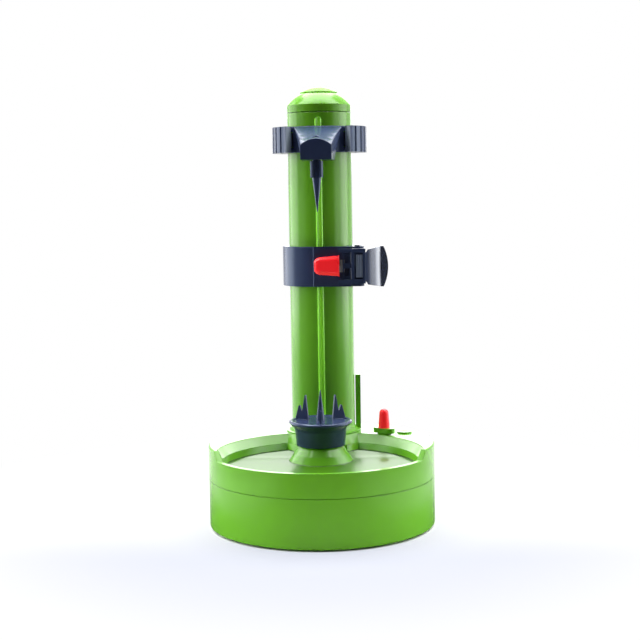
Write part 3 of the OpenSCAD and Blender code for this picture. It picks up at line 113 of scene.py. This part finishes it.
def card(name, shaded, mirror_near, mirror_beyond):
    """White card. shaded is the share of real shadow near the base. Mirror rays see the card at
    strength mirror_near before the base and at strength mirror_beyond behind it, and near the base
    its sides glow brighter still, a painted glow that the base's sides mirror."""
    paint = bpy.data.materials.new(name)
    paint.use_nodes = True
    tree = paint.node_tree
    tree.nodes.clear()
    flow = Flow(tree)
    rays = tree.nodes.new("ShaderNodeLightPath")
    seen = Flow(tree, rays.outputs["Is Camera Ray"])
    mirrored = flow.maths("MAXIMUM", Flow(tree, rays.outputs["Is Glossy Ray"]),
                          Flow(tree, rays.outputs["Is Transmission Ray"]))
    spot = flow.node("NewGeometry", output="Position")
    across = flow.node("SeparateXYZ", None, {0: spot})
    depth = flow.node("SeparateXYZ", None, {0: spot}, 1)
    far = flow.node("VectorMath", {"operation": "LENGTH"}, {0: spot}, "Value")

    by_depth = slope(depth, start=-0.02, end=0.18, first=mirror_near, last=mirror_beyond)
    # Painted glow: in mirror rays the card's sides near the base shine brighter, and the base
    # mirrors them.
    side_glow = slope(across * across, start=0.09 ** 2, end=0.15 ** 2, first=0.0, last=1.2)
    by_the_base = slope(far, start=0.22, end=0.30, first=1.0, last=0.0)
    mirror = flow.maths("MAXIMUM", by_depth, side_glow * by_the_base)
    bounce = slope(far, start=0.10, end=0.28, first=0.9, last=0.03)
    matt = flow.node("BsdfDiffuse", None, {"Color": seen * 0.9 + (1 - seen) * bounce})

    # Painted shadow: a cool grey laid on the white round and before the base, for the camera only.
    painted_shadow = slope(far, start=0.09, end=0.27, first=1.0, last=0.0)
    painted_shadow = painted_shadow * slope(depth, start=-0.09, end=0.0, first=1.0, last=0.3) * seen
    white, shadow_grey = (1, 1, 1, 1), (0.64, 0.67, 0.80, 1)
    tone = flow.node("Mix", {"data_type": "RGBA"}, {0: painted_shadow, 6: white, 7: shadow_grey}, 2)
    glow = flow.node("Emission", None, {"Color": tone, "Strength": seen + (1 - seen) * mirror})

    share = slope(far, start=0.10, end=0.30, first=shaded, last=0.0, curve="LINEAR")
    under = slope(far, start=0.0655, end=0.0685, first=1.0, last=0.0, curve="LINEAR")
    plain = flow.maths("MAXIMUM", seen * (1 - flow.maths("MAXIMUM", share, under)), mirrored)
    mixed = flow.node("MixShader", None, {0: plain, 1: matt, 2: glow})
    tree.links.new(mixed.socket, tree.nodes.new("ShaderNodeOutputMaterial").inputs["Surface"])
    return paint


def sweep_panel(name, corners, paint):
    sheet = bmesh.new()
    sheet.faces.new([sheet.verts.new(corner) for corner in corners])
    mesh = bpy.data.meshes.new(name)
    sheet.to_mesh(mesh)
    sheet.free()
    mesh.materials.append(paint)
    panel = bpy.data.objects.new(name, mesh)
    bpy.context.scene.collection.objects.link(panel)


side, back, top = 3, 2, 3
sweep_panel("floor", [(-side, -side, 0), (side, -side, 0), (side, back, 0), (-side, back, 0)],
            card("floor_white", shaded=0.16, mirror_near=0.12, mirror_beyond=1.4))
sweep_panel("far_wall", [(-side, back, 0), (side, back, 0), (side, back, top), (-side, back, top)],
            card("wall_white", shaded=0.0, mirror_near=1.0, mirror_beyond=1.0))

# The room round the sweep is unlit. The camera sees it as white, and it is almost dark to every
# other ray, so that the soft boxes alone draw the light.
in_gloss, in_matt = 0.04, 0.03
world = bpy.data.worlds.new("studio_room")
bpy.context.scene.world = world
world.use_nodes = True
room = world.node_tree
room.nodes.clear()
room_rays = room.nodes.new("ShaderNodeLightPath")
seen_room = Flow(room, room_rays.outputs["Is Camera Ray"])
gloss_room = Flow(room, room_rays.outputs["Is Glossy Ray"])
room_level = seen_room + (1 - seen_room) * (gloss_room * in_gloss + (1 - gloss_room) * in_matt)
room_light = Flow(room).node("Background", None, {"Color": (1, 1, 1, 1), "Strength": room_level})
room.links.new(room_light.socket, room.nodes.new("ShaderNodeOutputWorld").inputs["Surface"])


# Soft boxes light the object. The three fills at the sides and above give the matt light, and
# the others show only in the gloss, as the long pale bands on the column and the base.
def soft_box(name, place, target, width, height, level, matt=True, gloss=True):
    """A soft box of one brightness. It can be left out of matt light or out of reflections."""
    lamp = bpy.data.lights.new(name, "AREA")
    lamp.shape, lamp.size, lamp.size_y = "RECTANGLE", width, height
    lamp.energy = level * math.pi * width * height
    box = bpy.data.objects.new(name, lamp)
    bpy.context.scene.collection.objects.link(box)
    box.location = place
    box.rotation_euler = (Vector(target) - Vector(place)).to_track_quat("-Z", "Y").to_euler()
    box.visible_camera = False
    box.visible_diffuse = matt
    box.visible_glossy = gloss


soft_box("left_wide", (-1.05, -0.05, 0.45), (0, 0.02, 0.15), width=1.5, height=1.1, level=0.3,
         matt=False)
soft_box("left_core", (-0.86, 0.38, 0.42), (0, 0.04, 0.15), width=0.90, height=1.0, level=2.6,
         matt=False)
soft_box("left_fill", (-1.0, 0.0, 0.40), (0, 0.04, 0.12), width=1.0, height=1.0, level=4.6,
         gloss=False)
soft_box("right_wide", (1.04, 0.05, 0.45), (0, 0.02, 0.15), width=1.5, height=1.1, level=0.7,
         matt=False)
soft_box("right_core", (0.89, 0.18, 0.42), (0, 0.04, 0.15), width=0.66, height=1.0, level=3.2,
         matt=False)
soft_box("right_fill", (0.98, 0.22, 0.40), (0, 0.04, 0.12), width=1.0, height=1.0, level=4.2,
         gloss=False)
soft_box("right_front", (0.98, -0.42, 0.30), (0, 0.02, 0.15), width=0.44, height=0.8, level=0.9,
         matt=False)
soft_box("back_box", (0.0, 1.6, 0.90), (0, 0.0, 0.05), width=1.0, height=1.5, level=3.2,
         matt=False)
soft_box("top_gloss", (-0.06, 0.42, 1.15), (-0.06, 0.42, 0.10), width=0.85, height=1.05,
         level=8.0, matt=False)
soft_box("front_strip", (-0.12, -0.26, 1.15), (-0.12, -0.26, 0.10), width=0.30, height=0.24,
         level=6.0, matt=False)
soft_box("left_high", (-0.62, 0.02, 1.15), (-0.62, 0.02, 0.10), width=0.50, height=0.60,
         level=8.0, matt=False)
soft_box("right_high", (0.62, 0.02, 1.15), (0.62, 0.02, 0.10), width=0.50, height=0.60,
         level=8.0, matt=False)
soft_box("top_fill", (0.0, 0.28, 1.15), (0, 0.0, 0.10), width=1.5, height=1.1, level=8.0,
         gloss=False)


# The lower shell and the battery door in its floor are injection-moulded in glossy green ABS.
# The tool's polish leaves a faint ripple, and handling leaves slightly duller patches.
def srgb(red, green, blue):
    """A colour in the steps of a picture, from 0 to 255."""
    def linear(value):
        value /= 255
        return value / 12.92 if value <= 0.04045 else ((value + 0.055) / 1.055) ** 2.4
    return (linear(red), linear(green), linear(blue), 1)


def plastic(name, light, dark, gloss, dull, ripple, edge, sheen=(1, 1, 1, 1), lean=None):
    """Moulded plastic: two close shades, gloss that varies, a rippled skin and eased edges. lean
    gets the place in metres and gives x, y and z values that turn the surface's direction, and
    a factor for its colour, with which light or shade is painted into it."""
    made = bpy.data.materials.new(name)
    made.use_nodes = True
    tree = made.node_tree
    shader = tree.nodes["Principled BSDF"]
    flow = Flow(tree)
    place = flow.node("TexCoord", output="Object")
    cloud = flow.node("TexNoise", None, {"Vector": place, "Scale": 22.0, "Detail": 3.0})
    smear = flow.node("TexNoise", None, {"Vector": place, "Scale": 60.0, "Detail": 4.0})
    skin = flow.node("TexNoise", None, {"Vector": place, "Scale": 420.0, "Detail": 2.0})
    shade = flow.node("Mix", {"data_type": "RGBA"}, {0: cloud, 6: dark, 7: light}, 2)
    patch = flow.node("ValToRGB", {"stops": [(0.30, 0.0), (0.80, 1.0)]}, {0: smear})
    rough = gloss + patch * (dull - gloss)
    eased = flow.node("Bevel", {"samples": 6}, {"Radius": edge})
    if lean:
        ways = [flow.node("SeparateXYZ", None, {0: place}, index) for index in range(3)]
        to_x, to_y, to_z, factor = lean(flow, *ways)
        turned = flow.node("CombineXYZ", None, {0: to_x, 1: to_y, 2: to_z})
        leaned = flow.node("VectorMath", {"operation": "ADD"}, {0: eased, 1: turned})
        eased = flow.node("VectorMath", {"operation": "NORMALIZE"}, {0: leaned})
        shade = flow.node("VectorMath", {"operation": "SCALE"}, {0: shade, "Scale": factor})
    bump = flow.node("Bump", None, {
        "Strength": ripple, "Distance": 0.0004, "Height": skin, "Normal": eased})
    shader.inputs["Specular Tint"].default_value = sheen
    tree.links.new(shade.socket, shader.inputs["Base Color"])
    tree.links.new(rough.socket, shader.inputs["Roughness"])
    tree.links.new(bump.socket, shader.inputs["Normal"])
    return made


def dress(material, *nodes):
    """Gives these CAD pieces one material."""
    for node in nodes:
        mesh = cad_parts[node].data
        mesh.materials.clear()
        mesh.materials.append(material)


green_abs = dict(light=srgb(100, 168, 34), dark=srgb(95, 161, 31), gloss=0.18, dull=0.25,
                 ripple=0.03, edge=0.0006)
green = plastic("green_abs", **green_abs)
dress(green, "lower_shell", "battery_door")


# Plated steel screws driven up from below close the base. It stands on discs of grey rubber
# that are pressed into its floor.
def metal(name, light, dark, gloss, dull, grain):
    """Bare metal with fine marks and a few duller patches. A grain above 1 packs the marks
    along z, as turning does, and one below 1 draws them out, as rolling does."""
    made = bpy.data.materials.new(name)
    made.use_nodes = True
    tree = made.node_tree
    shader = tree.nodes["Principled BSDF"]
    shader.inputs["Metallic"].default_value = 1.0
    flow = Flow(tree)
    place = flow.node("TexCoord", output="Object")
    stretched = flow.node("Mapping", None, {"Vector": place, "Scale": (1.0, 1.0, grain)})
    marks = flow.node("TexNoise", None, {"Vector": stretched, "Scale": 900.0, "Detail": 3.0})
    cloud = flow.node("TexNoise", None, {"Vector": place, "Scale": 90.0, "Detail": 4.0})
    shade = flow.node("Mix", {"data_type": "RGBA"}, {0: cloud, 6: dark, 7: light}, 2)
    rough = gloss + marks * (dull - gloss)
    bump = flow.node("Bump", None, {"Strength": 0.08, "Distance": 0.0001, "Height": marks})
    tree.links.new(shade.socket, shader.inputs["Base Color"])
    tree.links.new(rough.socket, shader.inputs["Roughness"])
    tree.links.new(bump.socket, shader.inputs["Normal"])
    return made


steel = metal("bright_steel", srgb(206, 208, 212), srgb(188, 190, 194), gloss=0.18, dull=0.38,
              grain=6.0)
dress(steel, "base_screws")
rubber = plastic("grey_rubber", srgb(52, 52, 52), srgb(42, 42, 42), gloss=0.6, dull=0.75,
                 ripple=0.12, edge=0.0003)
dress(rubber, "rubber_feet")

# Four cells in plain blue film lie side by side in the bay above the door. At their ends are
# flat contacts stamped from steel, and coil springs that press the cells against them.
sleeve = plastic("cell_sleeve_film", srgb(36, 62, 118), srgb(30, 54, 106), gloss=0.2, dull=0.3,
                 ripple=0.03, edge=0.0003)
dress(sleeve, "battery_cells")
dress(steel, "battery_contacts", "cell_springs")

# The round inlet in the rear wall and the main switch under the deck are housings of black
# nylon. The green button above the switch stands on a coil spring, which shortens with it.
nylon = plastic("black_nylon", srgb(36, 36, 38), srgb(28, 28, 30), gloss=0.34, dull=0.44,
                ripple=0.06, edge=0.0003)
dress(nylon, "dc_inlet", "main_switch")
dress(green, "power_button")
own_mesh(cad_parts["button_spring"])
dress(steel, "button_spring")

# The gears and the plate that carries them are natural white acetal. They run on ground steel
# shafts in bushes turned from brass, and the motor is a steel can with a brass pinion.
acetal = plastic("white_acetal", srgb(226, 224, 212), srgb(214, 212, 200), gloss=0.32, dull=0.42,
                 ripple=0.05, edge=0.0002)
dress(acetal, "gear_plate", "compound_gear", "turntable_gear", "screw_gear")
dress(steel, "motor", "gear_axle", "turntable_shaft", "lead_screw")
brass = metal("turned_brass", srgb(214, 184, 110), srgb(198, 166, 92), gloss=0.2, dull=0.4,
              grain=8.0)
dress(brass, "motor_pinion", "journal_bushes", "spindle_bush", "column_bush")

# The top cover is one green ABS moulding: tray, front lip, deck and the cone under the holder.
# Behind the tray its wall falls in a slant from the deck and ends in a short upright step. The
# CAD leaves the slant out, so a copy of its shape gets it here and stands in its place.
tray_z, slope_z, step_z, deck_z = 0.0398, 0.0423, 0.0440, 0.0493
tray_middle, tray_radius = Vector((0, -0.029, 0)), 0.059
column_middle, foot_radius = Vector((0, 0.040, 0)), 0.025


def between(flow, value, low, high):
    """1 where the value lies between low and high, and 0 elsewhere."""
    return flow.maths("GREATER_THAN", value, low) * flow.maths("LESS_THAN", value, high)


def tray_lean(flow, x, y, z):
    """Turns the gloss of the tray's floor and rear wall towards the lights that the real tray
    mirrors. It also paints shade on the floor, as a darker green, and light on the step, as a
    lighter green."""
    inside, cone_y, cone_radius = 0.0632, -0.008, 0.029
    slant_aside, slant_up, step_up = 13.0, 0.12, 0.7
    floor_painted_shade, step_painted_light = 0.62, 0.6
    from_cone = y - cone_y
    inner = flow.maths("LESS_THAN", x * x + y * y, inside ** 2)
    off_cone = flow.maths("GREATER_THAN", x * x + from_cone * from_cone, cone_radius ** 2)
    floor = between(flow, z, tray_z - 0.0008, tray_z + 0.0003) * inner
    step = between(flow, z, tray_z + 0.0003, step_z) * inner * off_cone
    slant = between(flow, z, step_z + 0.0002, deck_z - 0.0003) * inner
    floor_back = slope(y, start=-0.012, end=0.012, first=-0.2, last=-0.5)
    # Painted shade on the tray's floor and painted light on its step, scaled into the colour.
    factor = 1.0 - floor * floor_painted_shade + step * step_painted_light
    return slant * x * slant_aside, floor * floor_back, slant * slant_up + step * step_up, factor


def on_tray_wall(spot):
    """True on the tray's visible wall, round its own middle and round the column's foot."""
    reach = 0.0003
    flat = Vector((spot.x, spot.y, 0))
    from_tray, from_column = (flat - tray_middle).length, (flat - column_middle).length
    slack = max(0.0, slope_z - spot.z)
    round_tray = abs(from_tray + slack - tray_radius) < reach
    round_foot = abs(from_column - slack - foot_radius) < reach
    return (round_tray and from_column > foot_radius - reach) or (
        round_foot and from_tray < tray_radius + reach)


cover = bmesh.new()
cover.from_mesh(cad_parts["top_cover"].data)
bmesh.ops.remove_doubles(cover, verts=cover.verts, dist=1e-6)
bmesh.ops.bisect_plane(cover, geom=cover.verts[:] + cover.edges[:] + cover.faces[:], dist=1e-6,
                       plane_co=(0, 0, step_z), plane_no=(0, 0, 1))

# The wall below the step's top moves in over the floor's edge, and the deck's edge moves out.
# Both begin beside the tray and reach their full measure a little further back.
slant_start_y, slant_run, deck_edge_out = -0.032, 0.009, 0.0012
level_slack, circle_slack = 1e-5, 0.0005
floor_edge = [Vector(vert.co) for vert in cover.verts
              if abs(vert.co.z - tray_z) < level_slack and on_tray_wall(vert.co)]
moved = []
for vert in cover.verts:
    spot = vert.co
    share = min(max((spot.y - slant_start_y) / slant_run, 0.0), 1.0)
    share = share * share * (3 - 2 * share)
    if share == 0.0 or not on_tray_wall(spot):
        continue
    if tray_z + level_slack < spot.z < step_z + level_slack:
        below = min(floor_edge, key=lambda edge: (edge.xy - spot.xy).length)
        moved.append((vert, spot.lerp(Vector((below.x, below.y, spot.z)), share)))
    elif abs(spot.z - deck_z) < level_slack:
        outward = Vector((spot.x, spot.y, 0)) - tray_middle
        if outward.length < tray_radius - circle_slack:
            outward = column_middle - Vector((spot.x, spot.y, 0))
        moved.append((vert, spot + outward.normalized() * deck_edge_out * share))
for vert, place in moved:
    vert.co = place

bmesh.ops.recalc_face_normals(cover, faces=cover.faces)
for face in cover.faces:
    face.smooth = True
    face.material_index = 0
crisp_angle = math.radians(28)
for edge in cover.edges:
    edge.smooth = edge.calc_face_angle(0.0) < crisp_angle
cover_mesh = bpy.data.meshes.new("top_cover_moulding")
cover_mesh.materials.append(plastic("green_abs_tray", **green_abs, lean=tray_lean))
cover.to_mesh(cover_mesh)
cover.free()
cover_piece = bpy.data.objects.new("top_cover_moulding", cover_mesh)
bpy.context.scene.collection.objects.link(cover_piece)
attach(cover_piece, "base")
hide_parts("top_cover")


# The column is a green ABS tube with a rounded rib down its front, which keeps the rings from
# turning. Steel screws hold its foot, and its domed cap and the disc on top are pressed in.
def rib_lean(flow, x, y, z):
    """Spreads the light over the narrow round rib, and paints light on it as a lighter green."""
    half_width, rib_back, roundness, offset, rib_painted_light = 0.0021, 0.0203, 500.0, 0.45, 1.1
    on_rib = flow.maths("LESS_THAN", y, rib_back) * between(flow, x, -half_width, half_width)
    # Painted light: the green on the rib is scaled lighter.
    return (x * roundness - offset) * on_rib, 0.0, 0.0, 1.0 + on_rib * rib_painted_light


dress(plastic("green_abs_column", **green_abs, lean=rib_lean), "column")
dress(steel, "column_screws")
for part, level in (("column_cap", 0.34), ("cap_disc", 0.06)):
    softened = plastic("green_abs_" + part, **green_abs)
    softened.node_tree.nodes["Principled BSDF"].inputs["Specular IOR Level"].default_value = level
    dress(softened, part)

# The end stop is a green ABS rod beside the column's foot. The carriage presses it down on a
# coil spring, until it works the black nylon limit switch below.
dress(green, "stop_rod")
dress(nylon, "limit_switch")
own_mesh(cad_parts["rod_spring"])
dress(steel, "rod_spring")

# The lower holder is a cup with a flange, a centre spike and four fins, moulded in blue-grey ABS
# with a satin sheen from a finely eroded tool. It is pushed on the turntable's shaft.
slate_abs = dict(light=srgb(50, 60, 92), dark=srgb(42, 52, 82), gloss=0.20, dull=0.28,
                 ripple=0.03, edge=0.0005, sheen=(0.62, 0.80, 1.0, 1))
slate = plastic("slate_abs", **slate_abs)
dress(slate, "lower_holder")

# The arm carriage is a blue-grey ABS ring on the column. Its black nylon nut reaches the screw
# through the slot in the column's back, held there by a coil spring under its button.
dress(slate, "arm_carriage")
dress(nylon, "carriage_nut")
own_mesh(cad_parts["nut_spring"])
dress(steel, "nut_spring")

# The peeling arm turns on a steel pin in the carriage's ears, pressed inwards by a torsion
# spring. It is blue-grey ABS like the ring, and its thumb paddle is polished to a high gloss.
paddle_from, paddle_to = 0.0265, 0.0315
polished = plastic("slate_abs_paddle", **slate_abs)
polished_shader = polished.node_tree.nodes["Principled BSDF"]
polished_shader.inputs["Coat IOR"].default_value = 2.2
polished_shader.inputs["Coat Roughness"].default_value = 0.24
arm_flow = Flow(polished.node_tree)
arm_x = arm_flow.node("SeparateXYZ", None, {0: arm_flow.node("TexCoord", output="Object")})
coat = slope(arm_x, start=paddle_from, end=paddle_to, first=0.0, last=1.0, curve="LINEAR")
polished.node_tree.links.new(coat.socket, polished_shader.inputs["Coat Weight"])
dress(polished, "peeling_arm")
dress(steel, "hinge_pin", "arm_spring")

# A small ribbed plate of blue-grey ABS stands in the arm's window beside the hinge, pressed in
# from the front. Every second of its seven strips is raised as a rib. Its slate is painted much
# lighter, as painted light.
plate_middle = (0.0238, 0.0129, 0.1530)
plate_width, plate_height, plate_depth = 0.0038, 0.0136, 0.0032
rib_depth, rib_bevel = 0.0006, 0.00008
ribs = bmesh.new()
bmesh.ops.create_grid(ribs, x_segments=7, y_segments=1, size=0.5, matrix=(
    Matrix.Translation(plate_middle) @ Matrix.Rotation(math.pi / 2, 4, "X")
    @ Matrix.Diagonal((plate_width, plate_height, 1, 1))))
raised = bmesh.ops.extrude_face_region(ribs, geom=ribs.faces[:])
front = [part for part in raised["geom"] if isinstance(part, bmesh.types.BMFace)]
bmesh.ops.translate(ribs, vec=(0, -plate_depth, 0),
                    verts=list({vert for face in front for vert in face.verts}))
front.sort(key=lambda face: face.calc_center_median().x)
teeth = bmesh.ops.extrude_discrete_faces(ribs, faces=front[::2])["faces"]
bmesh.ops.translate(ribs, vec=(0, -rib_depth, 0),
                    verts=list({vert for face in teeth for vert in face.verts}))
bmesh.ops.remove_doubles(ribs, verts=ribs.verts, dist=1e-6)
crisp = [edge for edge in ribs.edges if edge.calc_face_angle(0.0) > 1.0]
bmesh.ops.bevel(ribs, geom=crisp, affect="EDGES", offset=rib_bevel, segments=1, profile=0.5,
                material=-1)
bmesh.ops.recalc_face_normals(ribs, faces=ribs.faces)
plate_mesh = bpy.data.meshes.new("arm_grip_plate")
ribs.to_mesh(plate_mesh)
ribs.free()
# A lighter copy of the slate: painted light on the plate.
painted_light_plate_abs = dict(slate_abs, light=srgb(128, 138, 162), dark=srgb(118, 128, 152), gloss=0.24,
                 dull=0.32, edge=0.0002)
plate_mesh.materials.append(plastic("slate_abs_grip_plate", **painted_light_plate_abs))
plate = bpy.data.objects.new("arm_grip_plate", plate_mesh)
bpy.context.scene.collection.objects.link(plate)
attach(plate, "arm")

# The blade is a bowed strip of stainless steel with a slotted edge, and swivels in the arm with
# its small ABS head. Its guard is soft red polyethylene and pulls off, and its red has a painted
# glow.
dress(slate, "blade_head")
honed = metal("blade_steel", srgb(214, 216, 220), srgb(200, 202, 206), gloss=0.12, dull=0.3,
              grain=0.2)
dress(honed, "blade")
red = plastic("red_cap_plastic", srgb(255, 40, 50), srgb(246, 32, 42), gloss=0.24, dull=0.34,
              ripple=0.04, edge=0.0004)
red_shader = red.node_tree.nodes["Principled BSDF"]
# A weak painted glow, which shines without any lamp, brightens the red.
red_shader.inputs["Emission Color"].default_value = srgb(255, 30, 36)
red_shader.inputs["Emission Strength"].default_value = 0.28
dress(red, "blade_cap")

# The top holder is a ring with a broad nose, in blue-grey ABS with softly rounded edges. Its
# spindle with the upper spike turns freely in the nose and is kept in by a steel clip.
dress(plastic("slate_abs_nose", **dict(slate_abs, edge=0.0011)), "top_holder")
dress(slate, "top_spindle")
dress(steel, "spindle_clip")


# The two ribbed grips of blue-grey ABS rock on steel pins at the ring's sides. Coil springs
# press their rubber pads on the column, and squeezing the grips lifts the pads.
def grip_lean(flow, x, y, z):
    """Turns the gloss of the grips' ends beside the nose up to the light above."""
    end_x, end_y, aside, upward = 0.0206, 0.0275, 30.0, 0.9
    beside_nose = flow.maths("LESS_THAN", flow.maths("ABSOLUTE", x, 0.0), end_x)
    near_nose = beside_nose * flow.maths("LESS_THAN", y, end_y)
    return near_nose * x * aside, 0.0, near_nose * upward, 1.0


dress(plastic("slate_abs_grips", **slate_abs, lean=grip_lean), "left_grip", "right_grip")
dress(rubber, "left_brake_pad", "right_brake_pad")
dress(steel, "grip_pins", "grip_springs")

# The eye remover stands in a hole of the deck and lifts out. Its green ABS handle is moulded
# round a small stainless blade, under a red polyethylene cap like the blade's.
dress(green, "knife_handle")
dress(honed, "knife_blade")
# The knife's cap has the same painted glow as the blade's guard.
dress(red, "knife_cap")

# Colours are shown as they are written, with no film curve.
bpy.context.scene.view_settings.view_transform = "Standard"
